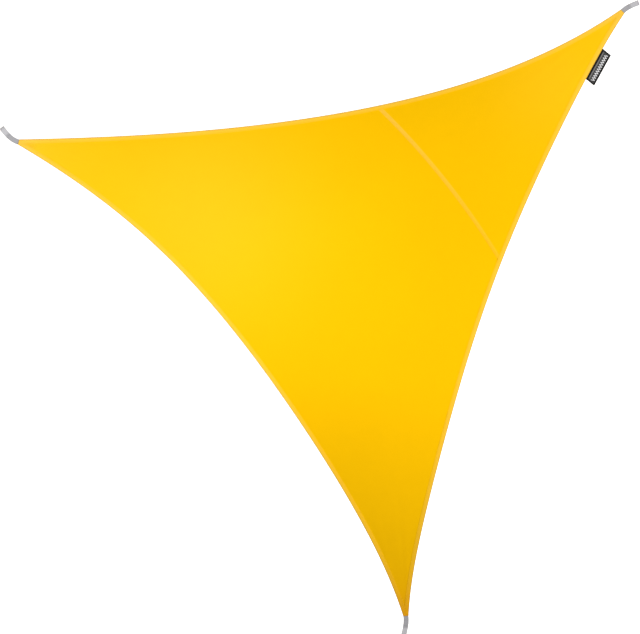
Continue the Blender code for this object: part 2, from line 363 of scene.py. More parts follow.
def fromCut(name, p):
    # how far a point lies inside the straight cut across a corner
    return dot(corners[name] - p, outward[name])


def fromCuts(p):
    # the same for the nearest of the three cuts
    return np.min([fromCut(name, p) for name in corners], axis=0)


blunt = {}  # the inset at which a corner's mitre meets its cut
for name in corners:
    blunt[name] = solve(
        lambda d: fromCut(name, edgePoint(leaving[name], mitre(name, d)[1], d)), np.array(0.0127)
    )


def rowEnd(edge, name, inset):
    # share of the edge at which a row ends: at the cut while shallow, then at the mitre
    first = edge["start"] == name
    guess = np.full_like(inset, 0.0 if first else 1.0)
    atCut = solve(lambda t: fromCut(name, edgePoint(edge, t, inset)), guess)
    return np.where(inset < blunt[name], atCut, mitre(name, inset)[1 if first else 0])


print("plan laid out")


def gridQuads(rows, columns, offset):
    # cell (i, j) joins (i, j), (i + 1, j), (i + 1, j + 1) and (i, j + 1)
    i, j = np.meshgrid(np.arange(rows - 1), np.arange(columns - 1), indexing="ij")
    first = (i * columns + j).ravel() + offset
    return np.stack([first, first + columns, first + columns + 1, first + 1], axis=-1)


def buildMesh(name, points, quads, triangles=(), values=None, weld=True, uv=None):
    # writes whole arrays of points and faces into a mesh; values and uv given for one face of a
    # shell serve both; doubles are merged, then faces are turned outwards
    triangles = np.asarray(triangles, int).reshape(-1, 3)
    mesh = bpy.data.meshes.new(name)
    mesh.from_pydata(points.tolist(), [], quads.tolist() + triangles.tolist())
    for key, value in (values or {}).items():
        layer = mesh.attributes.new(key, "FLOAT", "POINT")
        layer.data.foreach_set("value", np.resize(value, len(points)).astype(np.float32))
    if uv is not None:
        plan = np.resize(uv, (len(points), 2))[np.concatenate([quads.ravel(), triangles.ravel()])]
        mesh.uv_layers.new(name="plan").data.foreach_set("uv", plan.astype(np.float32).ravel())
    mesh.validate()
    if weld:
        shape = bmesh.new()
        shape.from_mesh(mesh)
        bmesh.ops.remove_doubles(shape, verts=shape.verts, dist=4e-6)
        loose = [v for v in shape.verts if not v.link_faces]
        bmesh.ops.delete(shape, geom=loose, context="VERTS")
        bmesh.ops.recalc_face_normals(shape, faces=shape.faces)
        shape.to_mesh(mesh)
        shape.free()
    mesh.shade_smooth()
    piece = bpy.data.objects.new(name, mesh)
    bpy.context.scene.collection.objects.link(piece)
    return piece


def closedShell(plan, top, under, first=0, walls=("start", "end", "near", "far")):
    # the grid at each of two heights, with upright walls along the borders named
    rows, columns = plan.shape[:2]
    count = rows * columns
    points = np.concatenate([place(plan, top).reshape(-1, 3), place(plan, under).reshape(-1, 3)])
    number = np.arange(count).reshape(rows, columns) + first
    borders = {"start": number[0], "end": number[-1], "near": number[:, 0], "far": number[:, -1]}
    faces = [gridQuads(rows, columns, first), gridQuads(rows, columns, first + count)[:, ::-1]]
    for key in walls:
        line = borders[key]
        faces.append(np.stack([line[:-1], line[1:], line[1:] + count, line[:-1] + count], axis=-1))
    return points, np.concatenate(faces)


def drawnIn(sewn, across):
    # the cloth is drawn in by a bell at each row of stitches
    return sewn["groove"] * sum(bell(across - row, sewn["dent"]) for row in sewn["stitchRows"])


def betweenRows(sewn, across):
    # a sine across that is nil on both rows of stitches
    low, high = sewn["stitchRows"]
    return np.sin(np.pi * np.clip((across - low) / (high - low), 0, 1))


cloth = {
    "half": 0.0006,
    "cell": 0.012,
    "headCell": 0.008,
    "lapRows": (0, 0.1, 0.3, 0.6, 1.2, 2.1, 2.8, 3.5, 4.8, 7, 9.2, 10.5, 11.2, 11.9, 13, 15.5, 17.5),
    "underHem": 0.016,  # the panels run on inside the hem as far as this inset
    "tip": 0.85,
    "tipReach": 0.11,
    # painted shade towards the foot: it starts this far below the head eye and deepens over the reach
    "footShadeFrom": -1.80,
    "footShadeReach": 1.1,
    "paleTip": 0.9,
    "paleTipReach": 0.045,
    # painted light: where three pools of it lie, how wide and how strong they are
    "lightPoolAt": np.array([[-2.09, -1.01], [-2.91, -0.68], [-0.36, -0.36]]),
    "lightPoolReach": np.array([0.50, 0.35, 0.30]),
    "lightPoolAmount": np.array([1.0, 0.9, 0.6]),
}


def coons(near, far, start, end):
    # the two ways of ruling between opposite borders added, less the bilinear blend of corners
    a = np.linspace(0, 1, len(near))[:, None, None]
    b = np.linspace(0, 1, len(start))[None, :, None]
    alongway = (1 - b) * near[:, None] + b * far[:, None]
    crossway = (1 - a) * start[None] + a * end[None]
    low = (1 - a) * near[0] + a * near[-1]
    high = (1 - a) * far[0] + a * far[-1]
    return alongway + crossway - (1 - b) * low - b * high


def webbingUnder(p):
    # 1 over the sewn tails of the loops, where painted shade falls: distance along times distance
    # across, both eased
    found = np.zeros(p.shape[:-1])
    for name in corners:
        far, aside = fromCut(name, p), np.abs(cross(outward[name], corners[name] - p))
        there = ease((webbing["tail"] - far) / webbing["softEnd"])
        there = there * ease((webbing["width"] / 2 - aside) / webbing["softSide"])
        found = np.maximum(found, there * (far > -0.001))
    return found


def handling(p):
    # tip: tip exp(-distance / reach) from the foot corner; then painted shade that rises evenly
    # towards the foot; painted shade over the loops' tails beneath; and painted light, the sum of
    # three bells where the light falls strongest
    at = p - eyes["head"]
    apart = np.linalg.norm(at[..., None, :] - cloth["lightPoolAt"], axis=-1)
    bells = cloth["lightPoolAmount"] * bell(apart, cloth["lightPoolReach"])
    return {
        "tip": cloth["tip"] * np.exp(-np.maximum(fromCut("foot", p), 0) / cloth["tipReach"]),
        "dull": np.clip((cloth["footShadeFrom"] - at[..., 1]) / cloth["footShadeReach"], 0, 1),
        "overWebbing": webbingUnder(p),
        "washed": np.clip(bells.sum(axis=-1), 0, 1),
    }


def paleTips(p):
    # paleTip exp(-distance / reach) from the left and head corners, where cloth is thickest
    near = np.minimum(fromCut("left", p), fromCut("head", p))
    return cloth["paleTip"] * np.exp(-np.maximum(near, 0) / cloth["paleTipReach"])


def panelGrid(side):
    # rows of constant distance from the lapped edge, then a Coons patch as far as the far
    # boundary: the long edge for the main panel (side -1), the head's mitre for the other (+1)
    inset = np.array(cloth["underHem"])
    across = np.array(cloth["lapRows"]) * 1e-3
    beyond = side * (across - seam["width"] / 2)
    shares = {key: seamShare(key, inset, beyond) for key in ("top", "labelled")}
    starts, stops = [alongSeam(edgePoint(edges[key], t, inset)) for key, t in shares.items()]
    if side > 0:
        columns = int((stops[0] - starts[0]) / cloth["headCell"])
        labelEnd, topEnd = mitre("head", inset)
    else:
        columns = int(edges["long"]["length"] / cloth["cell"])
        topEnd, longFrom = mitre("left", inset)
        longTo, labelEnd = mitre("foot", inset)
    a = np.linspace(0, 1, columns + 1)[:, None]
    lapRows = seamPoint(starts + (stops - starts) * a, beyond + 0 * a)
    depth = abs(labelEnd - shares["labelled"][-1]) * edges["labelled"]["length"]
    b = np.linspace(0, 1, int(depth / cloth["cell"]) + 1)
    borders = []
    for key, end in (("top", topEnd), ("labelled", labelEnd)):
        first = shares[key][-1]
        borders.append(edgePoint(edges[key], first + (end - first) * b, inset))
    if side > 0:
        far = np.repeat(borders[0][-1:], columns + 1, axis=0)
    else:
        far = edgePoint(edges["long"], longFrom + (longTo - longFrom) * a[:, 0], inset)
    patch = coons(lapRows[:, -1], far, *borders)
    plan = np.concatenate([lapRows, patch[:, 1:]], axis=1)
    fromLap = side * beyondSeam(plan) + seam["width"] / 2
    fromLap[:, : len(across)] = across
    return plan, fromLap


def seamWaves(p, fromLap):
    # two sines along the seam, times a sine across that is nil on both stitch rows
    distance, (first, second) = alongSeam(p), seam["waves"]
    waves = np.sin(distance * first) + 0.7 * np.sin(distance * second + 1)
    return seam["pucker"] * betweenRows(seam, fromLap) * waves


def headRise(p):
    # the head panel is at its full rise all over the lap
    return lapRise(beyondSeam(p), -1.0, -0.5)


def makePanel(name, side):
    # middle height, plus and minus half the thickness; the lapped edge is rounded, and the
    # face that shows is drawn in at each row of stitches
    plan, fromLap = panelGrid(side)
    middle = clothMiddle(plan)
    half = cloth["half"] * rounded(fromLap / cloth["half"])
    sewn = seamWaves(plan, fromLap) - drawnIn(seam, fromLap)
    if side > 0:
        middle = middle + headRise(plan)
        top, under = middle + half + sewn, middle - half
    else:
        top, under = middle + half, middle - half - sewn
    points, quads = closedShell(plan, top, under)
    # the lap's paler back of the cloth, with painted sheen stronger at the seam's top end
    along = (alongSeam(plan) - seam["start"]) / (seam["end"] - seam["start"])
    pale = seam["pale"][0] + (seam["pale"][1] - seam["pale"][0]) * along
    lapped = pale * ramp(seam["width"] + seam["paleBeside"] - fromLap, 0, seam["paleFade"])
    values = handling(plan)
    values["turned"] = np.maximum(lapped, paleTips(plan))
    # painted shade along the raw edge of the lap
    values["rim"] = seam["rim"] * np.exp(-fromLap / seam["edgeShadeReach"])
    return buildMesh(name, points, quads, values=values)


mainCloth = makePanel("main_cloth", -1)
headCloth = makePanel("head_cloth", 1)
print("panels made:", len(mainCloth.data.polygons), len(headCloth.data.polygons), "faces")

hem = {
    "width": 0.0221,
    "top": 0.00135,  # height of its upper face over the middle of the cloth
    "under": 0.00125,
    "fold": 0.0012,  # radius of the turned edge
    "inner": 0.0010,  # its inner side rounds down over this width
    "bury": 0.0001,  # and ends this deep in the cloth
    "drawnUnder": 0.6,  # share of dents and puckers that shows beneath
    "stitchRows": (0.0034, 0.0186),
    "stitchEnd": 0.003,  # a row of stitches stops this far from the corner
    "groove": 0.00036,
    "dent": 0.0010,
    "pucker": 0.00020,
    "puckerFade": 0.12,
    "waves": (273, 401, 17),  # radians for each metre: two of the puckers, one of their depth
    "cell": 0.0052,
    "endCells": (0, 0.12, 0.35, 0.7, 1.2, 2.0, 3.2, 5.0, 8.0),
    "rows": (0, 0.12, 0.4, 0.8, 1.2, 2.3, 3.4, 4.5, 6.5, 9, 10.5, 12, 13, 14, 15.4, 17.4, 18.6, 19.8,
             20.9, 21.4, 21.8, 22.0, 22.1),
    "bluntRow": 11,  # the row that ends where cut and mitre meet
    "byBlunt": (-0.6, 0, 0.06, 0.18, 0.45),  # its neighbours' distances from it
    "rowReach": 0.03,
    # painted shade at the fold and at the corner cuts dies out over these widths
    "edgeShadeReach": 0.0036,
    "cutEdgeShadeReach": 0.0010,
    "paleInner": 0.75,  # how much of the paler yellow is lost across the hem
    "paleFootShade": 0.5,  # and towards the foot, where painted shade falls
    "paleUnder": 0.4,  # share of it beneath
    "litFade": 0.15,
}


def hemFaces(p, inset, puff):
    # upper face: top, rounded down to the cloth over the last millimetre of its width; lower
    # face: the same below; both meet in a round fold at the edge and at the corner cuts, are
    # drawn in at the stitches, and rise over the lap of the seam, the upper one first
    fold = rounded(inset / hem["fold"]) * rounded(fromCuts(p) / hem["fold"])
    buried = cloth["half"] - hem["bury"]
    down = rounded((hem["width"] - inset) / hem["inner"])
    sewn = puff - drawnIn(hem, inset)
    top = buried + (hem["top"] - buried) * down + sewn
    under = buried + (hem["under"] - buried) * down + hem["drawnUnder"] * sewn
    beyond = beyondSeam(p)
    shared = lapRise(beyond, *seam["hemRamp"])
    topRise = lapRise(beyond, *seam["topRamp"]) - shared
    underRise = lapRise(beyond, *seam["underRamp"]) - shared
    middle = clothMiddle(p) + shared
    return middle + (top + topRise) * fold, middle - (under - underRise) * fold


def cellsAlong(length):
    # shares of a length: close together at both ends, then even
    close = np.array(hem["endCells"]) * 1e-3
    even = np.linspace(close[-1], length - close[-1], int(length / hem["cell"]))
    return np.concatenate([close[:-1], even, length - close[-2::-1]]) / length


def hemPuff(distance, inset, length, phase):
    # two uneven sines along the edge, times a sine across that is nil on both stitch rows
    first, second, deeper = hem["waves"]
    wave = np.sin(distance * first + phase) + 0.8 * np.sin(distance * second + 2 * phase)
    wave = wave * (0.6 + 0.4 * np.sin(distance * deeper + phase))
    wave = wave * ramp(distance, 0, hem["puckerFade"]) * ramp(length - distance, 0, hem["puckerFade"])
    return hem["pucker"] * betweenRows(hem, inset) * wave


def endRows(name):
    # near a corner the rows close up on the inset at which cut and mitre meet
    rows = np.array(hem["rows"]) * 1e-3
    first = hem["bluntRow"] - 1
    rows[first : first + len(hem["byBlunt"])] = blunt[name] + np.array(hem["byBlunt"]) * 1e-3
    return rows


def hemStrip(edge, phase):
    # rows of constant inset carried along the edge between its mitred ends
    rows = np.array(hem["rows"]) * 1e-3
    share = cellsAlong(edge["length"])[:, None]
    startRows, endingRows = endRows(edge["start"]), endRows(edge["end"])
    inset = rows
    for ownRows, away in ((startRows, share), (endingRows, 1 - share)):
        inset = inset + (ownRows - rows) * np.exp(-away * edge["length"] / hem["rowReach"])
    inset[0], inset[-1] = startRows, endingRows
    first = rowEnd(edge, edge["start"], startRows)
    last = rowEnd(edge, edge["end"], endingRows)
    t = first + (last - first) * share
    plan = edgePoint(edge, t, inset)
    top, under = hemFaces(plan, inset, hemPuff(t * edge["length"], inset, edge["length"], phase))
    return plan, inset, t, top, under


def hemValues(edge, plan, inset, t):
    # turned: paler towards the fold and less so at the foot, where painted shade falls; rim: painted
    # shade in a bell at the fold or at the corner's cut; lit: painted light, an even change along the
    # edge, eased out at its ends
    values = handling(plan)
    pale = (1 - hem["paleInner"] * inset / hem["width"]) * (1 - hem["paleFootShade"] * values["dull"])
    cutEdgeShade = np.exp(-fromCuts(plan) / hem["cutEdgeShadeReach"])
    lit = edge["lit"][0] + (edge["lit"][1] - edge["lit"][0]) * t
    values["rim"] = np.maximum(bell(inset, hem["edgeShadeReach"]), cutEdgeShade)
    values["lit"] = lit * ramp(t, 0, hem["litFade"]) * ramp(1 - t, 0, hem["litFade"])
    values = {key: [value.ravel()] * 2 for key, value in values.items()}
    shares = (1, hem["paleUnder"])
    values["turned"] = [np.clip(share * pale + paleTips(plan), 0, 1).ravel() for share in shares]
    return values


def makeHem():
    # three strips welded at their mitres into one ring, with a wall along the inner side
    points, faces, values, first = [], [], {}, 0
    for phase, edge in enumerate(edges.values()):
        plan, inset, t, top, under = hemStrip(edge, phase + 1.0)
        stripPoints, stripFaces = closedShell(plan, top, under, first, ("far",))
        points.append(stripPoints)
        faces.append(stripFaces)
        first += len(stripPoints)
        for key, parts in hemValues(edge, plan, inset, t).items():
            values.setdefault(key, []).extend(parts)
    values = {key: np.concatenate(parts) for key, parts in values.items()}
    return buildMesh("hem", np.concatenate(points), np.concatenate(faces), values=values)


hemRing = makeHem()
print("hem made:", len(hemRing.data.polygons), "faces")

thread = {
    "pitch": 0.0040,
    "length": 0.0032,
    "radius": 0.00030,
    "body": 0.26,  # the stitch keeps its full width as far as this share of its length
    "dip": 0.9,  # radii that its ends dip into the cloth
    "lift": 0.0001,  # of its middle over the cloth
    "yellow": (1.0, 0.60, 0.035, 1.0),
    "grey": (0.24, 0.24, 0.26, 1.0),
    "strapSize": 0.8,
    "strapLift": 0.00008,
    "boxNear": 0.006,  # the box sewn over a loop's tail, out from the corner's cut
    "boxFar": 0.078,
    "boxHalf": 0.0092,
}


def spaced(path, pitch):
    # points at even spacing along a dense path, and the path's direction at each
    far = np.cumsum(np.linalg.norm(np.diff(path, axis=0, prepend=path[:1]), axis=1))
    at = np.arange(pitch / 2, far[-1], pitch)
    centres, ahead, behind = [
        np.stack([np.interp(at + shift, far, path[:, k]) for k in range(3)], axis=-1)
        for shift in (0, pitch / 4, -pitch / 4)
    ]
    return centres, unit(ahead - behind)


def sewStitches(name, paths, up, size=1.0):
    # one grain of thread for each stitch: two points and two rings of four between them, laid
    # along the path and arched over its middle
    centres, ways = zip(*[spaced(path, thread["pitch"] * size) for path in paths])
    centre, way = np.concatenate(centres), np.concatenate(ways)
    across = unit(np.cross(np.array([0, 0, up], float), way))
    rise = np.cross(way, across)
    angle = np.arange(4) * np.pi / 2
    body, dip = np.full(4, thread["body"]), [-thread["dip"]]
    x = np.concatenate([[-0.5], -body, body, [0.5]]) * thread["length"]
    y = np.concatenate([[0], np.cos(angle), np.cos(angle), [0]]) * thread["radius"]
    z = np.concatenate([dip, np.sin(angle), np.sin(angle), dip]) * thread["radius"]
    one = np.stack([x, y, z], axis=1) * size
    points = centre[:, None] + one @ np.stack([way, across, rise], axis=1)
    ring = np.arange(4)
    following = (ring + 1) % 4
    sides = np.stack([1 + ring, 1 + following, 5 + following, 5 + ring], axis=-1)
    tips = np.concatenate([
        np.stack([0 * ring, 1 + following, 1 + ring], axis=-1),
        np.stack([0 * ring + 9, 5 + ring, 5 + following], axis=-1),
    ])
    offset = (np.arange(len(centre)) * 10)[:, None, None]
    quads, triangles = (sides + offset).reshape(-1, 4), (tips + offset).reshape(-1, 3)
    return buildMesh(name, points.reshape(-1, 3), quads, triangles, weld=False)


def hemRun(edge, row, up):
    # a path along a row of the hem, on its upper or lower face
    inset, ends = np.array([row]), hem["stitchEnd"] / edge["length"]
    first = rowEnd(edge, edge["start"], inset)[0] + ends
    last = rowEnd(edge, edge["end"], inset)[0] - ends
    plan = edgePoint(edge, np.linspace(first, last, 1500), row)
    top, under = hemFaces(plan, np.full(1500, row), 0.0)
    return place(plan, top + thread["lift"] if up > 0 else under - thread["lift"])


def seamRun(row, side):
    # a path along a row of the seam, on its upper (side 1) or lower face
    beyond, inset = np.array(side * (row - seam["width"] / 2)), hem["width"] + 0.0004
    first, last = [
        alongSeam(edgePoint(edges[key], seamShare(key, inset, beyond), inset))
        for key in ("top", "labelled")
    ]
    plan = seamPoint(np.linspace(first, last, 800), np.full(800, beyond))
    height = clothMiddle(plan) + side * (cloth["half"] - seam["groove"] + thread["lift"])
    return place(plan, height + headRise(plan) if side > 0 else height)


def boxRun(name, up):
    # a long box with a cross inside, over the tail of a loop: its corners joined by straight
    # runs in plan, each dropped on to the face of the hem or the cloth
    near, far, half = thread["boxNear"], thread["boxFar"], thread["boxHalf"]
    turns = [(near, -half), (far, -half), (far, half), (near, half), (near, -half), (far, half)]
    runs = []
    for start, stop in [*zip(turns, turns[1:]), (turns[3], turns[1])]:
        xy = np.linspace(start, stop, 60)
        plan = corners[name] - outward[name] * xy[:, :1] + leftOf(outward[name]) * xy[:, 1:]
        inset = np.min([edgeDistance(edge, plan) for edge in edges.values()], axis=0)
        top, under = hemFaces(plan, np.clip(inset, 0, hem["width"]), 0.0)
        flat = clothMiddle(plan) + up * cloth["half"]
        height = np.where(inset < hem["width"] - 0.0002, top if up > 0 else under, flat)
        runs.append(place(plan, height + up * thread["lift"] / 2))
    return runs


for name, up in (("stitches_above", 1), ("stitches_below", -1)):
    paths = [hemRun(edge, row, up) for edge in edges.values() for row in hem["stitchRows"]]
    paths += [seamRun(row, up) for row in seam["stitchRows"]]
    for corner in corners:
        paths += boxRun(corner, up)
    sewStitches(name, paths, up)


def loopPath(name):
    # side view of the folded strip, from its lower tail round the eye to its upper tail:
    # level, then opened by half a cosine wave, then a half circle, and back the same way
    reach, radius = loops[name]["reach"], webbing["eyeRadius"]
    middle = webbing["thickness"] / 2 + webbing["gap"] / 2
    fold = reach - radius - webbing["thickness"] / 2
    throat = reach - webbing["eyeLength"]
    sewn = np.arange(-webbing["tail"], throat, webbing["step"])
    opening = np.linspace(throat, fold, 28)
    rise = (1 - np.cos(np.pi * (opening - throat) / (fold - throat))) / 2
    angle = np.linspace(0, np.pi / 2, 13)[1:]
    distance = np.concatenate([sewn, opening, fold + radius * np.sin(angle)])
    opened = middle + (radius - middle) * rise
    height = np.concatenate([np.full(len(sewn), middle), opened, radius * np.cos(angle)])
    back = slice(-2, None, -1)
    return np.concatenate([distance, distance[back]]), np.concatenate([-height, height[back]])


def makeLoop(name):
    # a flat section with round selvedges and shallow ribs, carried along the folded path
    distance, height = loopPath(name)
    tangent = unit(np.stack([np.gradient(distance), np.gradient(height)], axis=-1))
    x = np.sin(np.linspace(-np.pi / 2, np.pi / 2, 27))
    thick = webbing["thickness"] / 2 * (1 - np.abs(x) ** 12) ** 0.5
    ribs = (0.5 + 0.5 * np.cos(x * np.pi * webbing["ribs"])) * (np.abs(x) < 0.9)
    thick = thick * (1 - webbing["ribDepth"] * ribs)
    section = np.concatenate([x, x[-2:0:-1]])
    offset = np.concatenate([thick, -thick[-2:0:-1]])
    way = heading(loopHeading(name, distance))
    sideways = (section * webbing["width"] / 2)[:, None]
    plan = loopMiddle(name, distance)[:, None] + leftOf(way)[:, None] * sideways
    plan = plan + way[:, None] * (tangent[:, 1:] * offset)[..., None]
    points = place(plan, sagHeight(plan) + height[:, None] - tangent[:, :1] * offset)
    count, around = points.shape[:2]
    last = np.arange(count - 1) * around
    quads = [
        gridQuads(count, around, 0),
        np.stack([last + around - 1, last + 2 * around - 1, last + around, last], axis=-1),
    ]
    tips = []  # each end is closed by quads across, with a triangle at either selvedge
    for start in (0, (count - 1) * around):
        upper = start + np.arange(len(x))
        lower = start + np.concatenate([[0], np.arange(around - 1, len(x) - 2, -1)])
        quads.append(np.stack([upper[1:-2], upper[2:-1], lower[2:-1], lower[1:-2]], axis=-1))
        tips += [(upper[0], upper[1], lower[1]), (upper[-2], upper[-1], lower[-2])]
    reach, whole = loops[name]["reach"], np.ones_like(offset)
    throat = reach - webbing["eyeLength"]
    values = {
        "sewn": ramp(throat + webbing["sewnPast"] - distance, 0, webbing["sewnFade"])[:, None] * whole,
        # painted shade along both selvedges
        "selvedge": np.abs(section) ** 8 + 0 * distance[:, None],
        # painted shade at the fold of the eye
        "worn": np.exp((distance - reach) / webbing["foldShadeReach"])[:, None] * whole,
    }
    run = np.cumsum(np.hypot(*[np.diff(x, prepend=x[0]) for x in (distance, height)]))
    uv = np.stack([run[:, None] * whole, sideways[:, 0] + 0 * run[:, None]], axis=-1)
    return buildMesh("strap_" + name, points.reshape(-1, 3), np.concatenate(quads), tips, values, uv=uv)


def strapRuns(name, up):
    # along both selvedges of the sewn part, and three bars across it at the throat
    throat = loops[name]["reach"] - webbing["eyeLength"]
    along = np.linspace(webbing["rowStart"][up], throat, 80)
    lines = [(along, side * webbing["rowSide"]) for side in (-1, 1)]
    bar = np.linspace(-webbing["barHalf"], webbing["barHalf"], 30)[:, None]
    lines += [(np.full(30, throat - back), bar) for back in webbing["bars"]]
    runs = []
    for distance, side in lines:
        across = leftOf(heading(loopHeading(name, distance))) * side * (webbing["width"] / 2)
        plan = loopMiddle(name, distance) + across
        face = webbing["thickness"] + webbing["gap"] / 2 + thread["strapLift"]
        runs.append(place(plan, sagHeight(plan) + up * face))
    return runs


for name in loops:
    makeLoop(name)
for name, up in (("strap_thread_above", 1), ("strap_thread_below", -1)):
    runs = [run for loop in loops for run in strapRuns(loop, up)]
    sewStitches(name, runs, up, size=thread["strapSize"])
print("straps folded and sewn")

label = {
    "length": 0.167,
    "drop": 0.050,
    "skew": 0.009,  # its free side lies this much nearer the foot corner
    "tuck": 0.012,
    "start": 0.195,
    "thickness": 0.0009,
    "under": 0.0023,  # its middle lies this far below the cloth's, clear of the hem
    "curl": 0.006,
    "wave": 0.0011,
    "ripple": 0.0005,
    "border": 0.0070,
    "inner": 0.0006,  # the border along the hem starts this far out
    "step": 0.0006,  # and gives way to the field over this width
    "round": 0.0005,
    "fieldShare": 0.86,  # the field's thickness as a share of the border's
}


def makeLabel():
    # a straight grid tucked under the hem; out from it the tab falls by curl (out / drop)^2
    # with a slow wave along its free side; edges are rounded and the border stands proud
    edge = edges["labelled"]
    length, tuck, drop = label["length"], label["tuck"], label["drop"]
    near, far = [
        edgePoint(edge, 1 - start / edge["length"], 0)
        for start in (label["start"], label["start"] + length)
    ]
    along = unit(far - near)
    width, innerBorder = tuck + drop, tuck + label["inner"]
    fine = np.array([0, 0.1, 0.3, 0.6, 1.2, 2.4, 4.0, 6.0, 7.0, 7.6, 8.2]) * 1e-3
    byBorder = innerBorder + label["border"] + np.array([-1, 0, 0.3, 0.6, 1.5]) * 1e-3
    u = np.concatenate([fine, np.linspace(0.009, length - 0.009, 60), length - fine[::-1]])
    tucked, field = np.linspace(0, tuck + 0.003, 6), np.linspace(0.022, width - 0.009, 16)
    v = np.concatenate([tucked, byBorder, field, width - fine[::-1]])
    u, v = np.meshgrid(u, v, indexing="ij")
    out = v - tuck
    reach = np.maximum(out, 0) / drop
    plan = near + along * (u + label["skew"] * out / drop)[..., None] + leftOf(along) * out[..., None]
    wave = label["wave"] * np.sin(u / length * 2 * np.pi * 1.4 + 0.8)
    wave = wave + label["ripple"] * np.sin(u * 130)
    middle = sail["lift"] - label["under"]
    height = sagHeight(plan) + middle - label["curl"] * reach**2 + wave * reach**1.5
    rim = np.minimum(np.minimum(u, length - u), width - v)
    inner = np.maximum(v - innerBorder, 0)
    border = 1 - ease((np.minimum(rim, inner) - label["border"]) / label["step"])
    half = label["thickness"] / 2 * rounded(rim / label["round"])
    half = half * (label["fieldShare"] + (1 - label["fieldShare"]) * border)
    points, quads = closedShell(plan, height + half, height - half)
    sewn = place(plan, height - half - thread["lift"])[6:-6, 2]
    sewStitches("label_thread", [sewn], -1)  # along the tucked strip, 6 mm in from the hem's edge
    uv = np.stack([u, out], axis=-1)
    return buildMesh("label_tab", points, quads, values={"border": border}, uv=uv)


labelTab = makeLabel()
print("label made")


def addNode(tree, kind, inputs=None, **settings):
    # a node; its inputs are numbers, colours or other nodes' outputs
    made = tree.nodes.new("ShaderNode" + kind)
    for key, value in settings.items():
        setattr(made, key, value)
    for key, value in (inputs or {}).items():
        if isinstance(value, bpy.types.NodeSocket):
            tree.links.new(value, made.inputs[key])
        else:
            made.inputs[key].default_value = value
    return made


def feed(kind, inputs, **settings):
    # the first output (Mix: the colour) of a node in the tree of the outputs that feed it
    fed = next(value for value in inputs.values() if isinstance(value, bpy.types.NodeSocket))
    return addNode(fed.id_data, kind, inputs, **settings).outputs[2 if kind == "Mix" else 0]


def calc(operation, *values):
    # one arithmetic step on numbers or outputs
    return feed("Math", dict(enumerate(values)), operation=operation)


def times(first, *others):
    # a product of numbers or outputs
    for other in others:
        first = calc("MULTIPLY", first, other)
    return first


def linear(value, factor, base):
    # value times factor plus base
    return calc("MULTIPLY_ADD", value, factor, base)


def within(value, middle, half):
    # 1 where a value is less than half away from the middle, else 0
    apart = calc("ABSOLUTE", calc("SUBTRACT", value, middle))
    return calc("LESS_THAN", apart, half)


def mixColours(share, first, second):
    # first colour towards second by a share
    return feed("Mix", {0: share, 6: first, 7: second}, data_type="RGBA")


def scaled(vector, factor):
    # a colour or place times a number
    return feed("VectorMath", {0: vector, "Scale": factor}, operation="SCALE")


def stored(tree, name):
    # a number stored on the piece's own points
    return addNode(tree, "Attribute", attribute_name=name).outputs["Fac"]


def startGroup(name, inputs, outputs):
    # an empty node group with named sockets; an input without a number is a vector
    group = bpy.data.node_groups.new(name, "ShaderNodeTree")
    for key, value in inputs.items():
        kind = "NodeSocketVector" if value is None else "NodeSocketFloat"
        socket = group.interface.new_socket(key, in_out="INPUT", socket_type=kind)
        if value is not None:
            socket.default_value = value
    for key in outputs:
        group.interface.new_socket(key, in_out="OUTPUT", socket_type="NodeSocketFloat")
    return group, group.nodes.new("NodeGroupInput").outputs, group.nodes.new("NodeGroupOutput").inputs


grain = {
    "stretch": 0.03,  # yarn noise is drawn out this much along the thread
    "scale": 0.16,
    "finer": 9.0,  # the quick noise of wear against the slow one
    "quick": 0.4,  # and its share
}


def noise(where, scale, detail):
    # smooth noise at a place
    return feed("TexNoise", {"Vector": where, "Scale": scale, "Detail": detail})


def weaveGroup():
    # plain weave: half plus half of sine times sine of the turned position over the pitch,
    # with streaks of noise drawn out along warp and weft as uneven yarn
    inputs = {"Vector": None, "Turn": 0.0, "Pitch": 0.001}
    group, given, out = startGroup("plainWeave", inputs, ("Height", "Yarn"))
    turn = {"Vector": given["Vector"], "Angle": given["Turn"]}
    turned = feed("VectorRotate", turn, rotation_type="Z_AXIS")
    turned = scaled(turned, calc("DIVIDE", 2 * np.pi, given["Pitch"]))
    split = addNode(group, "SeparateXYZ", {0: turned}).outputs
    product = times(*[calc("SINE", split[axis]) for axis in (0, 1)])
    group.links.new(linear(product, 0.5, 0.5), out["Height"])
    streaks = []
    for stretch in ((1.0, grain["stretch"], 1.0), (grain["stretch"], 1.0, 1.0)):
        drawn = feed("VectorMath", {0: turned, 1: stretch}, operation="MULTIPLY")
        streaks.append(noise(drawn, grain["scale"], 1.0))
    group.links.new(times(calc("ADD", *streaks), 0.5), out["Yarn"])
    return group


def wearGroup():
    # slow and quick noise around 1 as tone; the quick one alone as scuff
    inputs = {"Vector": None, "Scale": 1.0, "Amount": 0.05}
    group, given, out = startGroup("handledTone", inputs, ("Tone", "Scuff"))
    slow = noise(given["Vector"], given["Scale"], 3.0)
    quick = noise(given["Vector"], times(given["Scale"], grain["finer"]), 4.0)
    both = linear(quick, grain["quick"], times(slow, 1 - grain["quick"]))
    around = calc("SUBTRACT", both, 0.5)
    group.links.new(linear(around, given["Amount"], 1.0), out["Tone"])
    group.links.new(quick, out["Scuff"])
    return group


groups = {"weave": weaveGroup(), "wear": wearGroup()}


def effect(tree, name, **inputs):
    # the outputs of a group's node
    return addNode(tree, "Group", inputs, node_tree=groups[name]).outputs


def darkened(tree, look, name, start=1.0):
    # start less the look's share of a stored number
    return linear(stored(tree, name), -look[name], start)


def startMaterial(name, constants):
    # a material with constants on its Principled shader
    material = bpy.data.materials.new(name)
    material.use_nodes = True
    shader = material.node_tree.nodes["Principled BSDF"]
    for key, value in constants.items():
        shader.inputs[key].default_value = value
    return material, material.node_tree, shader


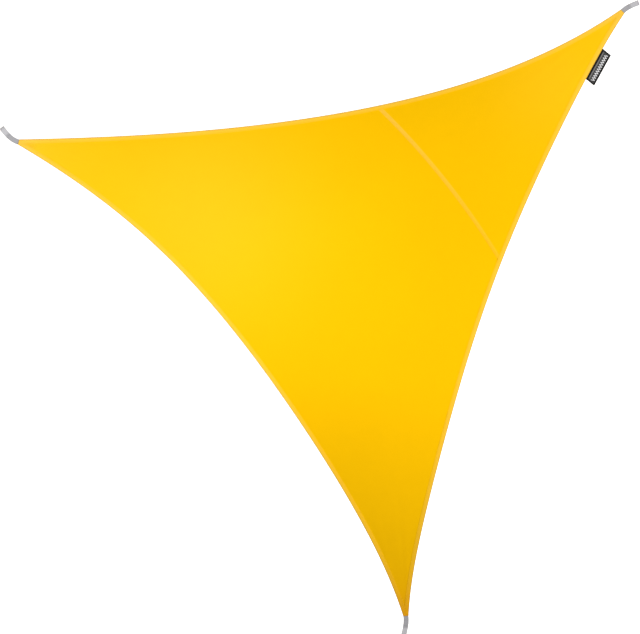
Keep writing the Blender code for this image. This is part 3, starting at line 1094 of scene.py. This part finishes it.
def makeMaterial(name, look, paint):
    # paint gives the colour, what the roughness follows and the height that bumps the normal
    material, tree, shader = startMaterial(name, look["shader"])
    where = addNode(tree, "TexCoord").outputs
    scale, amount = look["tone"]
    worn = effect(tree, "wear", Vector=where["Object"], Scale=scale, Amount=amount)
    colour, rough, height = paint(tree, look, where, worn)
    strength, depth = look["bump"]
    bump = feed("Bump", {"Height": height, "Strength": strength, "Distance": depth})
    tree.links.new(colour, shader.inputs["Base Color"])
    tree.links.new(linear(rough, *look["roughness"]), shader.inputs["Roughness"])
    tree.links.new(bump, shader.inputs["Normal"])
    return material


sailCloth = {
    "yellow": (0.985, 0.540, 0.0006, 1.0),
    # painted light: the paler yellow of the pools of light
    "washed": (0.985, 0.552, 0.0095, 1.0),
    "turned": (0.990, 0.580, 0.062, 1.0),  # the paler back of the cloth, on hem and lap
    "tip": (0.985, 0.400, 0.004, 1.0),  # deeper yellow towards the foot corner
    "overWebbing": 0.05,  # how much painted shade darkens the cloth there
    # painted shade towards the foot, as a share
    "dull": 0.20,
    # painted shade at the folded and raw edges
    "rim": 0.34,
    "yarn": (0.06, 0.97),  # a factor and what is added, as for roughness and shade
    "uneven": 0.4,  # the yarn's share in the height
    "pitch": 0.0011,
    "warp": -0.92,  # the warp follows the seam
    "tone": (2.2, 0.09),  # scale and amount
    "roughness": (0.16, 0.56),
    "bump": (0.55, 0.00014),
    "shader": {
        "Specular IOR Level": 0.30,
        "Specular Tint": (1.0, 0.62, 0.02, 1.0),
        "Sheen Weight": 0.05,
        "Sheen Roughness": 0.45,
        "Sheen Tint": (1.0, 0.66, 0.02, 1.0),
    },
}


def paintCloth(tree, look, where, worn):
    # yellow, paler where the cloth is turned over, with painted light in pools and along the hems,
    # painted shade over the webbing, towards the foot and at the folded and raw edges
    woven = effect(tree, "weave", Vector=where["Object"], Turn=look["warp"], Pitch=look["pitch"])
    colour = look["yellow"]
    for name in ("washed", "turned", "tip"):
        colour = mixColours(stored(tree, name), colour, look[name])
    shade = calc("ADD", darkened(tree, look, "overWebbing"), stored(tree, "lit"))
    shade = times(darkened(tree, look, "dull", shade), darkened(tree, look, "rim"))
    shade = times(shade, linear(woven["Yarn"], *look["yarn"]), worn["Tone"])
    height = linear(woven["Yarn"], look["uneven"], woven["Height"])
    return scaled(colour, shade), worn["Scuff"], height


twist = {
    "bands": {"Scale": 900.0, "Distortion": 0.4},
    "shade": (0.25, 0.85),
    "tone": (40.0, 0.20),
    "roughness": (0.15, 0.42),
    "bump": (0.5, 0.0001),
    "shader": {"Specular IOR Level": 0.35},
}


def paintThread(tree, look, where, worn):
    # twisted thread: slanting bands of shade and height along each stitch
    inputs = {"Vector": where["Object"], **look["bands"]}
    bands = addNode(tree, "TexWave", inputs, bands_direction="DIAGONAL").outputs["Fac"]
    shade = times(linear(bands, *look["shade"]), worn["Tone"])
    return mixColours(shade, (0, 0, 0, 1), look["colour"]), bands, bands


strapFinish = {
    "open": (0.490, 0.483, 0.500, 1.0),
    "sewn": (0.372, 0.366, 0.382, 1.0),
    "selvedge": 0.12,  # how much painted shade darkens it there
    # painted shade at the fold of the eye, as a share
    "worn": 0.40,
    "pitch": 0.0017,
    "chevron": 0.0021,  # half the width of a rib
    "slope": 0.9,
    "shade": (0.16, 0.92),
    "tone": (30.0, 0.10),
    "roughness": (0.18, 0.52),
    "bump": (0.7, 0.00025),
    "shader": {"Specular IOR Level": 0.35, "Sheen Weight": 0.08},
}


def paintStrap(tree, look, where, worn):
    # flat woven webbing in chevrons: the weave folded about each rib, on its own plan of
    # length and width; darker where it is doubled and sewn, with painted shade at its selvedges and
    # at the fold of the eye
    x, y = addNode(tree, "SeparateXYZ", {0: where["UV"]}).outputs[:2]
    folded = linear(calc("PINGPONG", y, look["chevron"]), look["slope"], x)
    folded = feed("CombineXYZ", {0: folded, 1: y})
    woven = effect(tree, "weave", Vector=folded, Pitch=look["pitch"])
    colour = mixColours(stored(tree, "sewn"), look["open"], look["sewn"])
    shade = times(linear(woven["Height"], *look["shade"]), worn["Tone"])
    shade = times(shade, darkened(tree, look, "selvedge"), darkened(tree, look, "worn"))
    return scaled(colour, shade), worn["Scuff"], woven["Height"]


labelFinish = {
    "border": (0.004, 0.004, 0.0045, 1.0),
    "field": (0.056, 0.054, 0.051, 1.0),
    "light": (0.80, 0.80, 0.81, 1.0),
    "faint": (0.24, 0.235, 0.23, 1.0),
    "zigzagMiddle": 0.0310,  # metres out of the hem
    "zigzagHeight": 0.0072,
    "zigzagPitch": 0.0120,
    "zigzagHalf": 0.0034,
    "slant": 0.10,
    "dashMiddle": 0.0125,
    "dashHalf": 0.0022,
    "dashPitch": 0.0050,
    "dashShare": 0.34,
    "margin": 0.013,
    "pitch": 0.0007,
    "shade": (0.2, 0.9),
    "tone": (25.0, 0.40),
    "roughness": (0.2, 0.42),
    "bump": (0.5, 0.0001),
    "shader": {"Specular IOR Level": 0.08},
}


def paintLabel(tree, look, where, worn):
    # satin weave: black border, dark grey field, a light woven zigzag along the outer half
    # and a faint row of dashes along the inner one
    along, out = addNode(tree, "SeparateXYZ", {0: where["UV"]}).outputs[:2]
    woven = effect(tree, "weave", Vector=where["UV"], Pitch=look["pitch"])
    ends = within(along, label["length"] / 2, label["length"] / 2 - look["margin"])
    leaning = linear(out, look["slant"], along)
    fold = calc("PINGPONG", leaning, look["zigzagPitch"] / 2)
    steepness = 4 * look["zigzagHeight"] / look["zigzagPitch"]
    crest = linear(fold, steepness, look["zigzagMiddle"] - look["zigzagHeight"])
    zigzag = times(within(out, crest, look["zigzagHalf"]), ends)
    dash = calc("PINGPONG", leaning, look["dashPitch"] / 2)
    dash = calc("LESS_THAN", dash, look["dashPitch"] * look["dashShare"])
    dash = times(dash, within(out, look["dashMiddle"], look["dashHalf"]), ends)
    colour = mixColours(dash, look["field"], look["faint"])
    colour = mixColours(zigzag, colour, look["light"])
    colour = mixColours(stored(tree, "border"), colour, look["border"])
    shade = times(linear(woven["Height"], *look["shade"]), worn["Tone"])
    return scaled(colour, shade), worn["Scuff"], woven["Height"]


finishes = {
    "cloth": makeMaterial("sailCloth", sailCloth, paintCloth),
    "strap": makeMaterial("greyWebbing", strapFinish, paintStrap),
    "label": makeMaterial("labelSatin", labelFinish, paintLabel),
}
for name in ("yellow", "grey"):
    look = {**twist, "colour": thread[name]}
    finishes[name + "Thread"] = makeMaterial(name + "Thread", look, paintThread)
pieces = {  # finish, slot and the nodes that it replaces
    "main_cloth": ("cloth", "cloth", ("panel_main",)),
    "head_cloth": ("cloth", "cloth", ("panel_head",)),
    "hem": ("cloth", "cloth", ("panel_main", "panel_head")),
    "stitches_above": ("yellowThread", "cloth", ()),
    "stitches_below": ("yellowThread", "cloth", ()),
    "strap_left": ("strap", "webbing", ("loop_left",)),
    "strap_head": ("strap", "webbing", ("loop_head",)),
    "strap_foot": ("strap", "webbing", ("loop_foot",)),
    "strap_thread_above": ("greyThread", "webbing", ()),
    "strap_thread_below": ("greyThread", "webbing", ()),
    "label_tab": ("label", "label", ("label",)),
    "label_thread": ("yellowThread", "cloth", ()),
}
for name, (finish, slot, nodes) in pieces.items():
    piece = bpy.data.objects[name]
    piece.data.materials.append(finishes[finish])
    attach(piece, "root")
    if nodes:
        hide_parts(*nodes)
print("materials given, pieces ride")

studio = {
    "floor": -2.4,
    "floorHalf": 40.0,
    "floorLook": {
        "Base Color": (0.92, 0.92, 0.92, 1),
        "Roughness": 0.9,
        "Emission Color": (1, 1, 1, 1),
        "Emission Strength": 0.75,
    },
    "cameraHeight": 28.0,
    "sensor": 36.0,
    "viewMiddle": (-1.5114, -1.5044),
    "viewWidth": 3.0800,
    "world": 0.310,
    "lamps": [  # middle, width across and power in watts
        ((-1.825, -1.243, 1.454), 0.7, 13.4),
        ((-3.309, -0.964, 1.300), 0.7, 11.9),
        ((0.148, -0.114, 1.300), 0.7, 7.6),
        ((1.497, -2.750, 1.834), 0.9, 141.0),
    ],
}


def makeFloor():
    # a square about the middle of the view, pale, glowing enough to stay white, and clear
    # from beneath
    turns = np.array([[-1, -1, 0], [1, -1, 0], [1, 1, 0], [-1, 1, 0]])
    points = turns * studio["floorHalf"] + [*studio["viewMiddle"], studio["floor"]]
    floor = buildMesh("floor", points, np.array([[0, 1, 2, 3]]), weld=False)
    material, tree, shader = startMaterial("paleFloor", studio["floorLook"])
    sides = {
        0: addNode(tree, "NewGeometry").outputs["Backfacing"],
        1: shader.outputs[0],
        2: addNode(tree, "BsdfTransparent").outputs[0],
    }
    tree.links.new(feed("MixShader", sides), tree.nodes["Material Output"].inputs["Surface"])
    floor.data.materials.append(material)


def addObject(name, data, at):
    # an object with its data at a place
    made = bpy.data.objects.new(name, data)
    made.location = at
    bpy.context.scene.collection.objects.link(made)
    return made


def setStage():
    # floor, even world light, three small lamps close over the sail and a stronger one beside
    # it, and the camera straight above
    makeFloor()
    scene = bpy.context.scene
    scene.world = bpy.data.worlds.new("studio")
    scene.world.use_nodes = True
    background = scene.world.node_tree.nodes["Background"].inputs
    background[0].default_value = (1, 1, 1, 1)
    background[1].default_value = studio["world"]
    for number, (at, size, power) in enumerate(studio["lamps"]):
        lamp = bpy.data.lights.new("lamp_%d" % number, "AREA")
        lamp.shape, lamp.size, lamp.energy = "DISK", size, power
        addObject(lamp.name, lamp, at).visible_camera = False
    lens = bpy.data.cameras.new("camera")
    lens.sensor_width = studio["sensor"]
    lens.lens = studio["sensor"] * studio["cameraHeight"] / studio["viewWidth"]
    lens.clip_end = 200.0
    scene.camera = addObject("camera", lens, (*studio["viewMiddle"], studio["cameraHeight"]))
    scene.view_settings.view_transform = "Standard"


setStage()
print("stage set")
